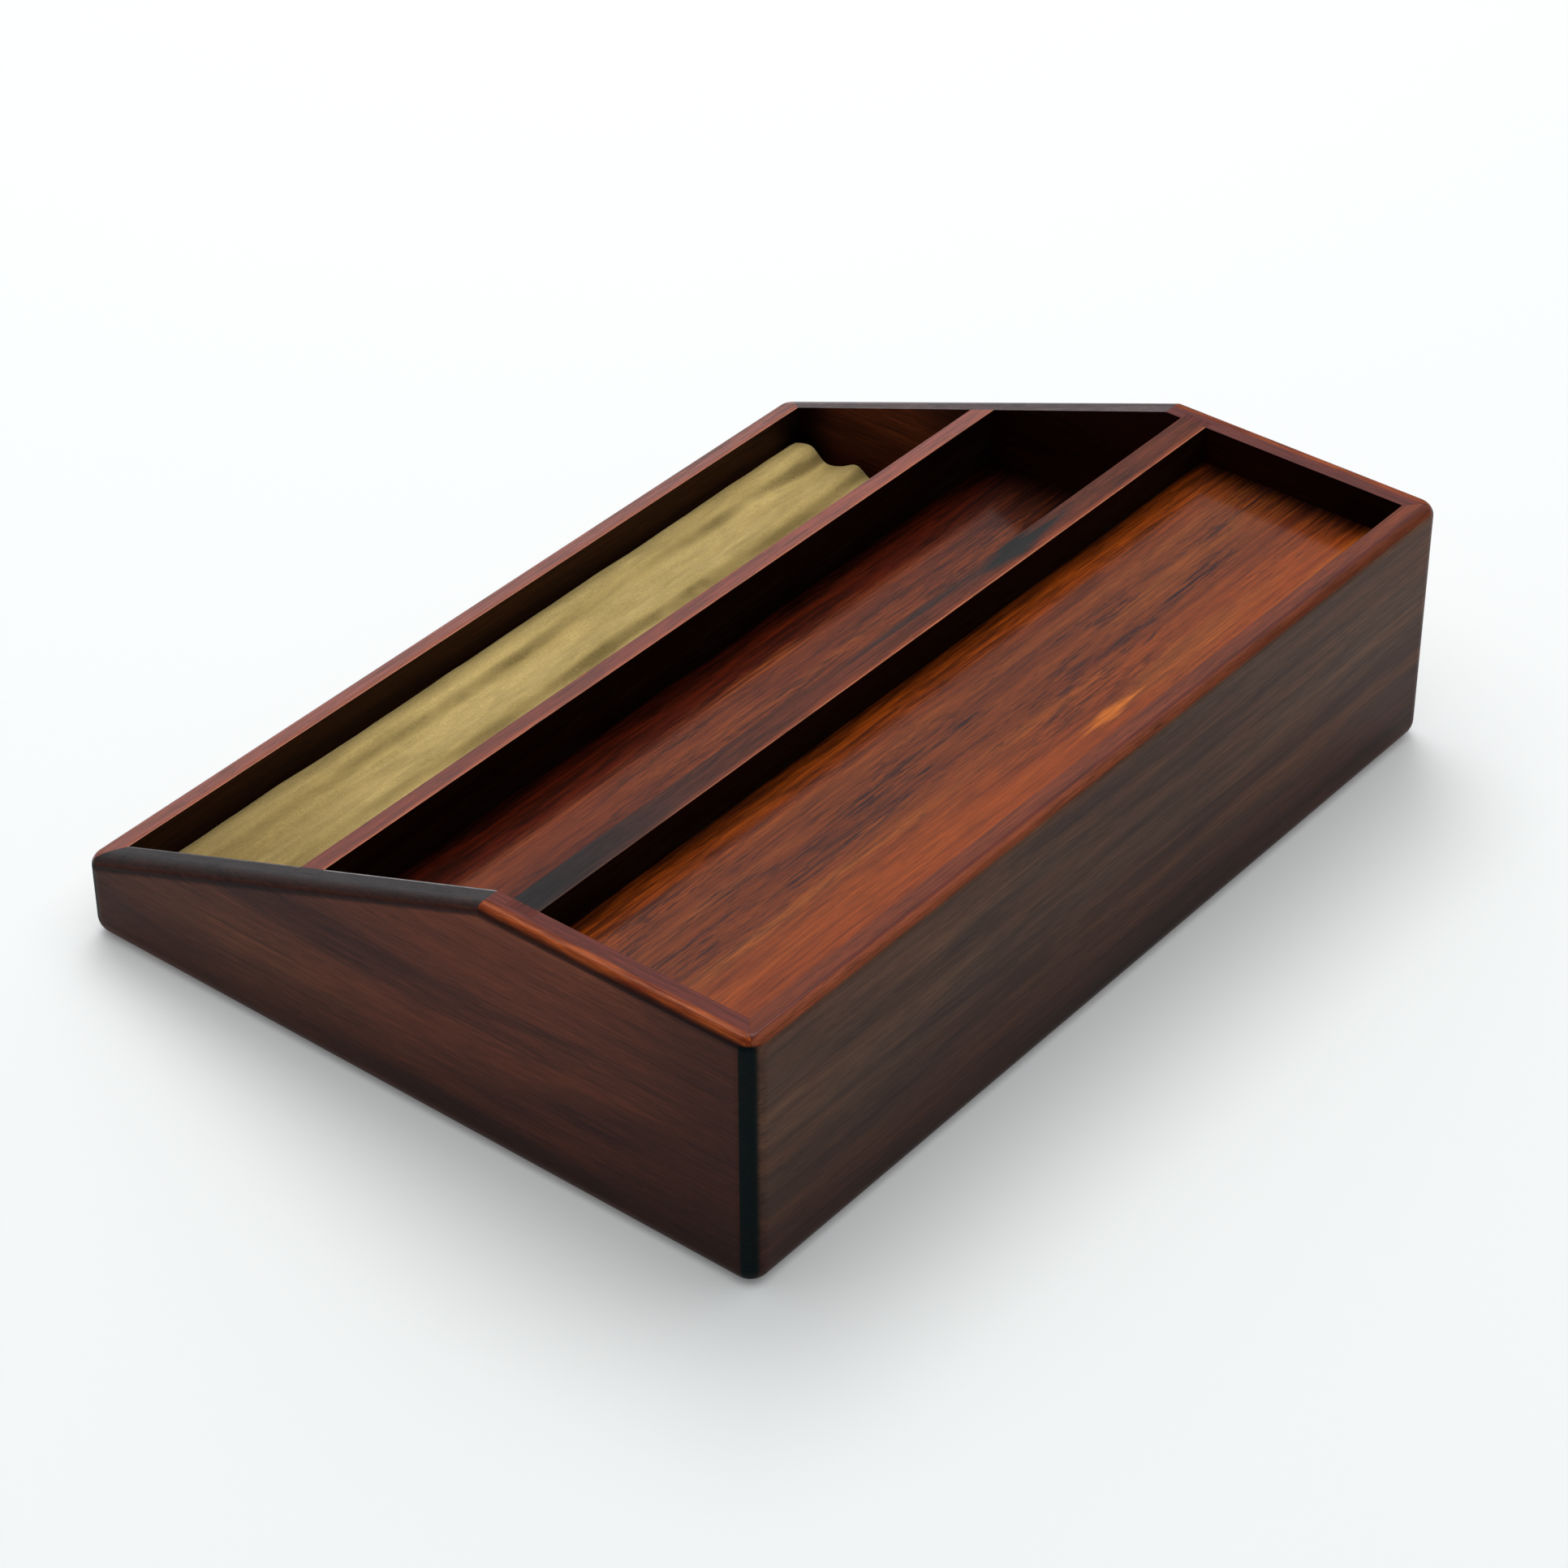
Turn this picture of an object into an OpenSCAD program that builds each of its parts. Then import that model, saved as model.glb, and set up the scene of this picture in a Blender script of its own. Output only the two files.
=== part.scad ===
// Stepped desk tray for fountain pens: a lacquered hardwood case with three bays at three
// heights, and a loose ribbed suede pad in the lowest bay.
//
// Frame: the origin is the centre of the base, on the surface that the tray stands on.
// X runs along the bays, -Y is the low front, +Y is the tall back, and Z is up.

/* [Case] */
// Length over the two end panels
case_length = 233; // [200:1:280]
// Depth from the low front face to the tall back face
case_depth = 178; // [165:1:190]
// Height of the flat top section at the back
case_height = 60; // [56:1:70]
// Height of the low front face
front_height = 19; // [18:0.5:22]
// Depth of the flat top section, measured from the back face
flat_depth = 67; // [66:0.5:76]
// Radius of the four rounded vertical corners
corner_radius = 4.6; // [4.5:0.1:5]
// Radius of the rounded outer edges along the top
top_radius = 2.6; // [1.5:0.1:3]
// Radius of the rounded outer edges along the bottom
bottom_radius = 4.4; // [1.5:0.1:4.5]

/* [Panels] */
// Thickness of the two end panels
end_t = 6.5; // [6:0.5:9]
// Thickness of the low front panel
front_t = 7.5; // [7:0.5:9]
// Thickness of the tall back panel
back_t = 6; // [6:0.5:9]
// Thickness of the two dividers
divider_t = 6.5; // [6:0.5:8]
// Depth of the housings that hold the dividers' ends in the end panels
housing_depth = 2.2; // [1:0.1:3]
// Thickness of the stub tenons across the mitres of the front and back panels
tenon_t = 2.4; // [1.5:0.1:2.5]
// How far each stub tenon reaches past the inside corner of the case
tenon_length = 4.6; // [3.5:0.1:4.8]
// Distance from a panel's inner face to its stub tenons
tenon_inset = 0.8; // [0.5:0.1:1]
// Height of the shoulders between the stub tenons and the floors
tenon_shoulder = 2; // [1:0.5:3]

/* [Floors] */
// Height of the upper bay's floor
upper_floor_z = 51.3; // [48:0.1:52]
// Height of the middle bay's floor
middle_floor_z = 29.4; // [26:0.1:32]
// Thickness of the upper and middle floors
floor_t = 4; // [3:0.5:5]
// Height of the base board's top face, which is the floor of the pen bay
base_top_z = 7.5; // [7:0.1:8]
// Thickness of the base board
base_t = 5; // [4:0.5:5]
// Depth of the grooves that hold the floors and the base board
groove_depth = 2; // [1:0.1:2]

/* [Pen pad] */
// Height of the pad's ribs above the base board
pad_rib_h = 6.9; // [6.4:0.1:8]
// Depth of the valleys between the ribs
valley_depth = 2.6; // [1:0.1:2.8]
// Distance from one rib to the next
rib_pitch = 13.6; // [12:0.1:14]
// Lean of the ribs towards the back, in degrees of their wave: 0 makes both slopes alike
rib_lean = 50; // [0:5:60]
// Gap between the pad and the long sides of its bay
pad_side_gap = 0.4; // [0.3:0.1:1]
// Gap between the pad and each end panel
pad_end_gap = 1.5; // [0.3:0.1:4]
// Gap below the loose pad
pad_rest_gap = 0.1; // [0.05:0.05:0.3]
// Thickness of the suede
suede_t = 1; // [0.6:0.1:1]
// Width of the suede that is turned under the pad's board
hem_width = 9; // [5:0.5:15]
// Distance from each end of the suede to the board and foam inside it
filling_end_gap = 4; // [1:0.5:4.5]
// Thickness of the stiff board inside the pad
pad_board_t = 1.5; // [1:0.1:1.5]

/* [Base lining] */
// Gap between the felt under the base and the panels around it
felt_gap = 0.5; // [0.2:0.1:2]

/* [Hidden] */

blend_fn = 48;       // smoothness of the rounded corners and edges
cut = 1;             // how far a cutting shape runs past the face that it opens
mitre_run = 0.2;     // how far the mitre lines run past the corners, as a share of a mitre
rib_steps = 60;      // straight steps across the pad's ribbed top

end_wood = "#4b2a20";
long_wood = "#54342a";
floor_wood = "#7a4a33";
base_wood = "#8a6a48";
felt_green = "#2f3a2c";
board_grey = "#8d8a80";
foam_white = "#d8d4c4";
suede_tan = "#b79a62";

// Where each panel starts, from the front to the back
y_front = -case_depth / 2;
y_back = case_depth / 2;
bay = (case_depth - front_t - back_t - 2 * divider_t) / 3;
pen_y = y_front + front_t;
lower_y = pen_y + bay;
middle_y = lower_y + divider_t;
upper_div_y = middle_y + bay;
upper_y = upper_div_y + divider_t;
back_y = upper_y + bay;

// Lengths along X
inner_length = case_length - 2 * end_t;
housed_length = inner_length + 2 * housing_depth;
grooved_length = inner_length + 2 * groove_depth;
tenoned_length = inner_length + 2 * tenon_length;

// The ramp from the flat top down to the front
y_bend = y_back - flat_depth;
ramp_slope = (case_height - front_height) / (y_bend - y_front);
ramp_angle = atan(ramp_slope);

base_bottom_z = base_top_z - base_t;

// The pad, from the outside of its suede
pad_length = inner_length - 2 * pad_end_gap;
pad_width = bay - 2 * pad_side_gap;
pad_y = pen_y + bay / 2;
pad_bottom_z = base_top_z + pad_rest_gap;
pad_top_z = base_top_z + pad_rib_h;

// Height of the case's top at a distance y, on the ramp or on the flat
function top_z(y) =
    y >= y_bend ? case_height : front_height + (y - y_front) * ramp_slope;

// Height of the pad's top at a distance y: the ribs lie either side of a middle valley, and
// each falls more steeply on its back slope than on its front one
function pad_z(y) =
    let (turn = 360 * (y - pad_y) / rib_pitch)
    pad_top_z - valley_depth * (1 + cos(turn - rib_lean * (1 - cos(turn)) / 2)) / 2;

// Turns a flat Y-Z outline into a solid whose length is centred on X = 0
module along_x(length) {
    rotate([90, 0, 90]) linear_extrude(length, center = true) children();
}

// Box between two Y and two Z planes, centred on X = 0
module beam(length, y0, y1, z0, z1) {
    translate([-length / 2, y0, z0]) cube([length, y1 - y0, z1 - z0]);
}

// Ring whose outside rounds a vertical corner and the edge above or below it
module corner_ring(side, y, z, edge_r) {
    translate([side * (case_length / 2 - corner_radius), y, z])
        rotate_extrude($fn = blend_fn) intersection() {
            translate([corner_radius - edge_r, 0]) circle(edge_r, $fn = blend_fn);
            translate([0, -edge_r]) square(2 * corner_radius);
        }
}

// The whole outside of the case, with every outer edge and corner rounded
module case_blank() {
    ring_y0 = y_front + corner_radius;
    ring_y1 = y_back - corner_radius;
    ring_reach = top_radius + (corner_radius - top_radius) * sin(ramp_angle);
    front_ring_z = top_z(ring_y0) - ring_reach / cos(ramp_angle);
    hull() {
        for (side = [-1, 1]) {
            corner_ring(side, ring_y0, bottom_radius, bottom_radius);
            corner_ring(side, ring_y1, bottom_radius, bottom_radius);
            corner_ring(side, ring_y0, front_ring_z, top_radius);
            corner_ring(side, ring_y1, case_height - top_radius, top_radius);
            translate([
                side * (case_length / 2 - top_radius),
                y_bend + top_radius * tan(ramp_angle / 2),
                case_height - top_radius
            ]) sphere(top_radius, $fn = blend_fn);
        }
    }
}

// Stub tenons of the back panel, both ends in one length
module back_tenon() {
    y0 = back_y + tenon_inset;
    beam(tenoned_length, y0, y0 + tenon_t,
        base_top_z + tenon_shoulder, upper_floor_z - floor_t - tenon_shoulder);
}

// Stub tenons of the front panel, both ends in one length
module front_tenon() {
    y1 = pen_y - tenon_inset;
    beam(tenoned_length, y1 - tenon_t, y1,
        base_top_z + tenon_shoulder, front_height - 2 * tenon_shoulder);
}

// The part of the case's outside that stands over a plan outline
module over_plan(outline) {
    intersection() {
        case_blank();
        translate([0, 0, -cut]) linear_extrude(case_height + 2 * cut) polygon(outline);
    }
}

// Panel along X from its inner face to its outer one, mitred to the corners of the case
module long_panel_blank(inner_y, outer_y) {
    run_x = case_length / 2 + mitre_run * end_t;
    run_y = outer_y + mitre_run * (outer_y - inner_y);
    over_plan([
        [-inner_length / 2, inner_y], [inner_length / 2, inner_y], [run_x, run_y], [-run_x, run_y]
    ]);
}

module end_panel_blank() {
    run_x = case_length / 2 + mitre_run * end_t;
    difference() {
        over_plan([
            [inner_length / 2, pen_y], [run_x, y_front - mitre_run * front_t],
            [run_x, y_back + mitre_run * back_t], [inner_length / 2, back_y]
        ]);
        back_tenon();
        front_tenon();
        upper_divider_solid();
        lower_divider_solid();
        upper_floor_solid();
        middle_floor_solid();
        base_board_solid();
    }
}

module left_end_panel() {
    color(end_wood) mirror([1, 0, 0]) end_panel_blank();
}

module right_end_panel() {
    color(end_wood) end_panel_blank();
}

module back_panel() {
    color(long_wood) difference() {
        union() {
            long_panel_blank(back_y, y_back);
            back_tenon();
        }
        upper_floor_solid();
        base_board_solid();
    }
}

module front_panel() {
    color(long_wood) difference() {
        union() {
            long_panel_blank(pen_y, y_front);
            front_tenon();
        }
        base_board_solid();
    }
}

// Divider that starts at y0 and stands on the base board, its top flush with the case's top
module divider_solid(y0) {
    y1 = y0 + divider_t;
    bend = y0 < y_bend && y_bend < y1 ? [[y_bend, case_height]] : [];
    along_x(housed_length) polygon(concat(
        [[y0, base_top_z], [y1, base_top_z], [y1, top_z(y1)]], bend, [[y0, top_z(y0)]]
    ));
}

module upper_divider_solid() {
    divider_solid(upper_div_y);
}

module lower_divider_solid() {
    divider_solid(lower_y);
}

module upper_divider() {
    color(long_wood) difference() {
        upper_divider_solid();
        upper_floor_solid();
        middle_floor_solid();
    }
}

module lower_divider() {
    color(long_wood) difference() {
        lower_divider_solid();
        middle_floor_solid();
    }
}

module upper_floor_solid() {
    beam(grooved_length, upper_y - groove_depth, back_y + groove_depth,
        upper_floor_z - floor_t, upper_floor_z);
}

module middle_floor_solid() {
    beam(grooved_length, middle_y - groove_depth, upper_div_y + groove_depth,
        middle_floor_z - floor_t, middle_floor_z);
}

module base_board_solid() {
    beam(grooved_length, pen_y - groove_depth, back_y + groove_depth,
        base_bottom_z, base_top_z);
}

module upper_floor() {
    color(floor_wood) upper_floor_solid();
}

module middle_floor() {
    color(floor_wood) middle_floor_solid();
}

module base_board() {
    color(base_wood) base_board_solid();
}

// Felt in the recess under the base board, flush with the panels' lower edges
module base_felt() {
    color(felt_green) beam(inner_length - 2 * felt_gap, pen_y + felt_gap, back_y - felt_gap,
        0, base_bottom_z);
}

// The pad's ribbed form from the height z0, shrunk by inset on its top and sides, and by
// end_inset at each end
module pad_form(inset, end_inset, z0) {
    half = pad_width / 2 - inset;
    along_x(pad_length - 2 * end_inset) polygon(concat(
        [[pad_y + half, z0], [pad_y - half, z0]],
        [for (i = [0 : rib_steps])
            let (y = pad_y - half + 2 * half * i / rib_steps)
            [y, pad_z(y) - inset]]
    ));
}

// Stiff board that the pad is built on
module pad_board() {
    z0 = pad_bottom_z + suede_t;
    color(board_grey) beam(pad_length - 2 * filling_end_gap,
        pad_y - pad_width / 2 + suede_t, pad_y + pad_width / 2 - suede_t,
        z0, z0 + pad_board_t);
}

// Ribbed foam that gives the pad its valleys
module pad_core() {
    color(foam_white) pad_form(suede_t, filling_end_gap, pad_bottom_z + suede_t + pad_board_t);
}

// Suede over the foam, turned under the board all round
module pad_cover() {
    color(suede_tan) difference() {
        pad_form(0, 0, pad_bottom_z);
        pad_form(suede_t, suede_t, pad_bottom_z + suede_t);
        beam(pad_length - 2 * hem_width,
            pad_y - pad_width / 2 + hem_width, pad_y + pad_width / 2 - hem_width,
            pad_bottom_z - cut, pad_bottom_z + suede_t + cut);
    }
}

left_end_panel();
right_end_panel();
back_panel();
front_panel();
upper_divider();
lower_divider();
upper_floor();
middle_floor();
base_board();
base_felt();
pad_board();
pad_core();
pad_cover();
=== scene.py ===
"""Looks for the stepped pen tray: lacquered wood on the CAD panels, and the ribbed suede pad.

Metres, in the CAD frame: X along the bays, -Y the low front, +Y the tall back, Z up.
"""
import math

import bpy
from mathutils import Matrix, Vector, noise


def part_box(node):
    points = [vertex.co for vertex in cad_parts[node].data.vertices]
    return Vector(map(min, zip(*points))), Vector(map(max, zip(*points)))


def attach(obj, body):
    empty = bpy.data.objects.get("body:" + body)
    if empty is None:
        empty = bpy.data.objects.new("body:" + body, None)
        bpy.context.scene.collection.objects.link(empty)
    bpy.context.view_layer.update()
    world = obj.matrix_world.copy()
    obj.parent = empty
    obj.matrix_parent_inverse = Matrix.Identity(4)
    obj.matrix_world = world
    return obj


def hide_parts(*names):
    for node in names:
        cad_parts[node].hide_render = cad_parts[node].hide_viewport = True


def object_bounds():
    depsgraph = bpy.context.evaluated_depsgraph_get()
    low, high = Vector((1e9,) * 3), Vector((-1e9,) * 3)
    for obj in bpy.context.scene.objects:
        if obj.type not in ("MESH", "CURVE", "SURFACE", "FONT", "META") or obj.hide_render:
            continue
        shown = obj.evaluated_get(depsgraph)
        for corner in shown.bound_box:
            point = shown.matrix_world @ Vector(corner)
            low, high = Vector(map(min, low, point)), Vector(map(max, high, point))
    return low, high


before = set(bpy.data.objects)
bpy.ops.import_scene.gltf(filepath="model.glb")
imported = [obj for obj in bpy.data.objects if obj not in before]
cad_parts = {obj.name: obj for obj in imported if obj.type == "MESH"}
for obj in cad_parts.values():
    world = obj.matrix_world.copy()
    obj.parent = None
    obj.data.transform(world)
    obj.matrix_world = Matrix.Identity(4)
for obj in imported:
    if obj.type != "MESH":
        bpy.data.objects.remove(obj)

MM = 0.001
CAD_BOX = [list(corner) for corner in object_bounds()]

# The tray's planes, from the CAD nodes
CASE_LOW = Vector(CAD_BOX[0])
CASE_HIGH = Vector(CAD_BOX[1])
INNER_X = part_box("right_end_panel")[0].x
FRONT_PANEL_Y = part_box("front_panel")[1].y
LOWER_DIVIDER_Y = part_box("lower_divider")[0].y
UPPER_DIVIDER_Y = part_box("upper_divider")[0].y
BACK_PANEL_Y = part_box("back_panel")[0].y

# View of the tray: where the camera looks, from which side, how far away, and its lens
VIEW_TARGET = Vector((18.4, 17.5, 29.9)) * MM
VIEW_AZIMUTH = math.radians(128.91)
VIEW_ELEVATION = math.radians(36.25)
VIEW_DISTANCE = 917 * MM
VIEW_ROLL = math.radians(-0.23)
VIEW_LENS = 102.27
VIEW_SENSOR = 36
VIEW_SHIFT_Y = 0.001


# ---------------------------------------------------------------- node trees

class Graph:
    """A node tree with short calls that add nodes and return their output sockets."""

    def __init__(self, tree):
        self.tree = tree
        tree.nodes.clear()

    def node(self, kind, **inputs):
        made = self.tree.nodes.new(kind)
        for name, value in inputs.items():
            self.put(made.inputs[name.replace("_", " ")], value)
        return made

    def put(self, socket, value):
        if isinstance(value, bpy.types.NodeSocket):
            self.tree.links.new(value, socket)
        else:
            socket.default_value = value

    def math(self, operation, a, b=0.0, clamp=False):
        made = self.tree.nodes.new("ShaderNodeMath")
        made.operation = operation
        made.use_clamp = clamp
        self.put(made.inputs[0], a)
        self.put(made.inputs[1], b)
        return made.outputs[0]

    def linear(self, value, slope, offset):
        made = self.tree.nodes.new("ShaderNodeMath")
        made.operation = "MULTIPLY_ADD"
        self.put(made.inputs[0], value)
        self.put(made.inputs[1], slope)
        self.put(made.inputs[2], offset)
        return made.outputs[0]

    def product(self, *values):
        total = values[0]
        for value in values[1:]:
            total = self.math("MULTIPLY", total, value)
        return total

    def vector(self, operation, a, b):
        made = self.tree.nodes.new("ShaderNodeVectorMath")
        made.operation = operation
        self.put(made.inputs[0], a)
        self.put(made.inputs[1], b)
        return made.outputs["Value" if operation == "DOT_PRODUCT" else "Vector"]

    def axes(self, vector):
        return list(self.node("ShaderNodeSeparateXYZ", Vector=vector).outputs)

    def step(self, value, low, high):
        """0 below low, 1 above high, smooth in between; low may be the larger one."""
        made = self.tree.nodes.new("ShaderNodeMapRange")
        made.interpolation_type = "SMOOTHSTEP"
        flip = low > high
        self.put(made.inputs["Value"], value)
        made.inputs["From Min"].default_value = min(low, high)
        made.inputs["From Max"].default_value = max(low, high)
        made.inputs["To Min"].default_value = 1.0 if flip else 0.0
        made.inputs["To Max"].default_value = 0.0 if flip else 1.0
        return made.outputs["Result"]

    def noise(self, vector, detail=3.0, roughness=0.5, distortion=0.0):
        made = self.node("ShaderNodeTexNoise", Vector=vector, Scale=1.0, Detail=detail,
                         Roughness=roughness, Distortion=distortion)
        return made.outputs["Fac"]

    def mix(self, share, a, b, blend="MIX"):
        made = self.tree.nodes.new("ShaderNodeMix")
        made.data_type = "RGBA"
        made.blend_type = blend
        self.put(made.inputs["Factor"], share)
        colours = [s for s in made.inputs if s.type == "RGBA"]
        self.put(colours[0], a)
        self.put(colours[1], b)
        return [s for s in made.outputs if s.type == "RGBA"][0]

    def tint(self, colour, amount):
        """colour times amount, which is another colour or a grey."""
        return self.mix(1.0, colour, amount, "MULTIPLY")

    def bump(self, height, distance):
        return self.node("ShaderNodeBump", Height=height, Distance=distance).outputs["Normal"]

    def surface(self, shader):
        output = self.tree.nodes.new("ShaderNodeOutputMaterial")
        self.tree.links.new(shader.outputs[0], output.inputs["Surface"])


def rgb(red, green, blue):
    """Opaque colour from linear shares."""
    return (red, green, blue, 1.0)


def new_material(name):
    material = bpy.data.materials.new(name)
    material.use_nodes = True
    return material, Graph(material.node_tree)


# ---------------------------------------------------------------- wood

# Shares of a piece's coat on its sides, and on the upright faces inside the bays
SIDE_COAT = 0.22
INSIDE_COAT = 0.15

# Spans of Y over which stains, painted shade, painted reflections and painted highlights pass from one
# part of the tray to the next
PAST_FRONT_PANEL = (FRONT_PANEL_Y + 11.5 * MM, LOWER_DIVIDER_Y - 9 * MM)
PAST_FRONT_MITRES = (FRONT_PANEL_Y + 21.5 * MM, FRONT_PANEL_Y + 31.5 * MM)
PAST_PAD_BAY = (LOWER_DIVIDER_Y - 19 * MM, LOWER_DIVIDER_Y + 4 * MM)
INTO_MIDDLE_BAY = (LOWER_DIVIDER_Y - 3 * MM, LOWER_DIVIDER_Y + 5 * MM)
PAST_LOWER_DIVIDER = (LOWER_DIVIDER_Y + 21 * MM, UPPER_DIVIDER_Y - 16 * MM)
UP_THE_SLOPE = (FRONT_PANEL_Y + 21.5 * MM, UPPER_DIVIDER_Y - 6 * MM)

# Span of X over which the near end's painted ramp reflection takes over from the far end's
TO_NEAR_END = (-10 * MM, 10 * MM)

# Patches of slate on the upper divider, and of amber and flame on the upper floor
SLATE_PATCH = {"x": -46 * MM, "y": UPPER_DIVIDER_Y + 2.6 * MM, "length": 46 * MM, "width": 6.5 * MM}
SLATE_TAIL = {"x": -14 * MM, "y": UPPER_DIVIDER_Y + 1.4 * MM, "length": 90 * MM, "width": 2.4 * MM}
AMBER_PATCH = {"x": -46 * MM, "y": BACK_PANEL_Y - 12 * MM, "length": 96 * MM, "width": 11 * MM}
FLAME_PATCH = {"x": -19 * MM, "y": BACK_PANEL_Y - 11 * MM, "length": 26 * MM, "width": 5 * MM}

# Figures: dark, middle and light stain, and the dark streaks
END_PALETTE = (rgb(0.050, 0.013, 0.008), rgb(0.115, 0.028, 0.014),
               rgb(0.19, 0.050, 0.020), rgb(0.012, 0.005, 0.004))
RAIL_PALETTE = (rgb(0.045, 0.020, 0.014), rgb(0.085, 0.037, 0.023),
                rgb(0.130, 0.056, 0.030), rgb(0.016, 0.008, 0.006))
UPPER_PALETTE = (rgb(0.140, 0.022, 0.004), rgb(0.270, 0.050, 0.005),
                 rgb(0.40, 0.096, 0.009), rgb(0.024, 0.007, 0.007))
MIDDLE_PALETTE = (rgb(0.070, 0.011, 0.004), rgb(0.155, 0.028, 0.006),
                  rgb(0.25, 0.060, 0.010), rgb(0.014, 0.005, 0.005))
BASE_PALETTE = (rgb(0.16, 0.07, 0.03), rgb(0.24, 0.12, 0.055),
                rgb(0.32, 0.18, 0.09), rgb(0.06, 0.025, 0.012))

# Stains laid over the figures, and colours that paint highlights, reflections and shade onto them
# Near-black corners, their teal tint a painted dark reflection
BLACK_CORNER = rgb(0.0015, 0.006, 0.007)
FLAT_TOP = rgb(0.125, 0.022, 0.014)
# Painted copper highlight on the rounded outer edge of the end panels' flat tops
COPPER_HIGHLIGHT_DARK = rgb(0.16, 0.026, 0.006)
COPPER_HIGHLIGHT_LIGHT = rgb(0.34, 0.072, 0.014)
# Painted dark reflection on the outer rim of the tops
RIM_DARK_REFLECTION = rgb(0.007, 0.005, 0.006)
# Painted reflection on the near and far ramp tops, and the dark browns at their outer edges
NEAR_RAMP_REFLECTION = rgb(0.018, 0.013, 0.013)
FAR_RAMP_REFLECTION = rgb(0.070, 0.042, 0.042)
RAMP_EDGE_DARK = rgb(0.008, 0.006, 0.006)
RAMP_EDGE_LIGHT = rgb(0.040, 0.015, 0.010)
# Painted highlight, a pale line along the ramps' inner arris
PALE_ARRIS_HIGHLIGHT = rgb(0.30, 0.27, 0.27)
FRONT_TOP_NEAR = rgb(0.250, 0.066, 0.042)
FRONT_TOP_FAR = rgb(0.285, 0.086, 0.060)
LOWER_TOP_NEAR = rgb(0.185, 0.030, 0.012)
LOWER_TOP_FAR = rgb(0.285, 0.060, 0.033)
UPPER_TOP = rgb(0.115, 0.024, 0.009)
# Painted copper highlight and brighter arris highlight along the rail tops' edge
RAIL_COPPER_HIGHLIGHT = rgb(0.30, 0.060, 0.018)
RAIL_ARRIS_HIGHLIGHT = rgb(0.52, 0.17, 0.08)
SLATE = rgb(0.010, 0.015, 0.016)
BACK_TOP = rgb(0.180, 0.031, 0.008)
BACK_LINE = rgb(0.075, 0.008, 0.004)
# Painted copper highlight on the back panel's rounded top, near and far
BACK_EDGE_HIGHLIGHT_NEAR = rgb(0.235, 0.058, 0.024)
BACK_EDGE_HIGHLIGHT_FAR = rgb(0.165, 0.036, 0.012)
# Painted shade bands beside the floors' front edges
UPPER_SHADE_TONE = rgb(0.265, 0.041, 0.0005)
MIDDLE_SHADE_TONE = rgb(0.046, 0.004, 0.0002)
AMBER = rgb(0.34, 0.085, 0.010)
FLAME = rgb(0.62, 0.160, 0.014)

# Tints that multiply the stain: painted shade inside the bays, in the far nook and round the pad,
# painted shade at the back's foot and painted light at its head, and tints of the wood
# Painted shade inside the bays, a painted shadow in the far nook, and lighter painted shade round the
# pad
BAY_SHADE = rgb(0.13, 0.08, 0.08)
NOOK_SHADE = rgb(0.02, 0.015, 0.012)
RAIL_PAD_SHADE = rgb(0.45, 0.33, 0.26)
NEAR_PAD_SHADE = rgb(0.30, 0.21, 0.18)
FAR_PAD_SHADE = rgb(0.68, 0.44, 0.34)
LOW_END_TINT = rgb(0.96, 1.20, 1.35)
# Painted shade at the back panel's foot and painted light at its head
BACK_FOOT_SHADE = rgb(0.52, 0.36, 0.35)
BACK_HEAD_LIGHT = rgb(1.18, 1.20, 1.12)
BACK_BAND_TINT = rgb(0.62, 0.86, 1.05)
FLOOR_BACK_TINT = rgb(1.10, 1.04, 0.80)
UPPER_FLOOR_TINT = rgb(0.66, 0.70, 1.0)
MIDDLE_FLOOR_TINT = rgb(1.06, 1.05, 0.95)


def stretched(graph, along, length, width):
    """Position scaled so that one noise cell is length x width metres, length along the grain."""
    place = graph.node("ShaderNodeTexCoord").outputs["Object"]
    scale = [1 / width] * 3
    scale["XYZ".index(along)] = 1 / length
    return graph.vector("MULTIPLY", place, scale)


def grain_masks(graph, along, figure_width):
    """Broad figure, dark streaks, fibres, pores and long threads of one board, each from 0 to 1.

    Streaks are the lines inside clusters, and pores are the dashes inside dense places.
    """
    figure = graph.noise(stretched(graph, along, 130 * MM, figure_width), 5, 0.6, 0.5)
    clusters = graph.noise(stretched(graph, along, 55 * MM, 8 * MM), 4, 0.6, 0.5)
    lines = graph.noise(stretched(graph, along, 13 * MM, 0.75 * MM), 5, 0.7, 0.3)
    streaks = graph.product(graph.step(clusters, 0.46, 0.60), graph.step(lines, 0.45, 0.58))
    fibres = graph.noise(stretched(graph, along, 11 * MM, 0.7 * MM), 5, 0.75)
    dense = graph.noise(stretched(graph, along, 40 * MM, 10 * MM), 2)
    dashes = graph.noise(stretched(graph, along, 5.0 * MM, 0.36 * MM), 2)
    pores = graph.product(graph.step(dense, 0.35, 0.60), graph.step(dashes, 0.54, 0.64))
    threads = graph.noise(stretched(graph, along, 70 * MM, 0.45 * MM), 3, 0.7, 0.1)
    return figure, streaks, fibres, pores, threads


class Places:
    """Sockets that say where on a piece a point is, and which way its face looks."""

    def __init__(self, graph):
        coordinates = graph.node("ShaderNodeTexCoord").outputs
        self.x, self.y, self.z = graph.axes(coordinates["Object"])
        self.reach_x = graph.math("ABSOLUTE", self.x)
        self.reach_y = graph.math("ABSOLUTE", self.y)
        self.share_x, self.share_y = graph.axes(coordinates["Generated"])[:2]
        normal = graph.axes(graph.node("ShaderNodeNewGeometry").outputs["Normal"])
        self.tilt_y = normal[1]
        self.tilt_z = normal[2]
        self.up = graph.step(normal[2], 0.35, 0.65)


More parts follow.
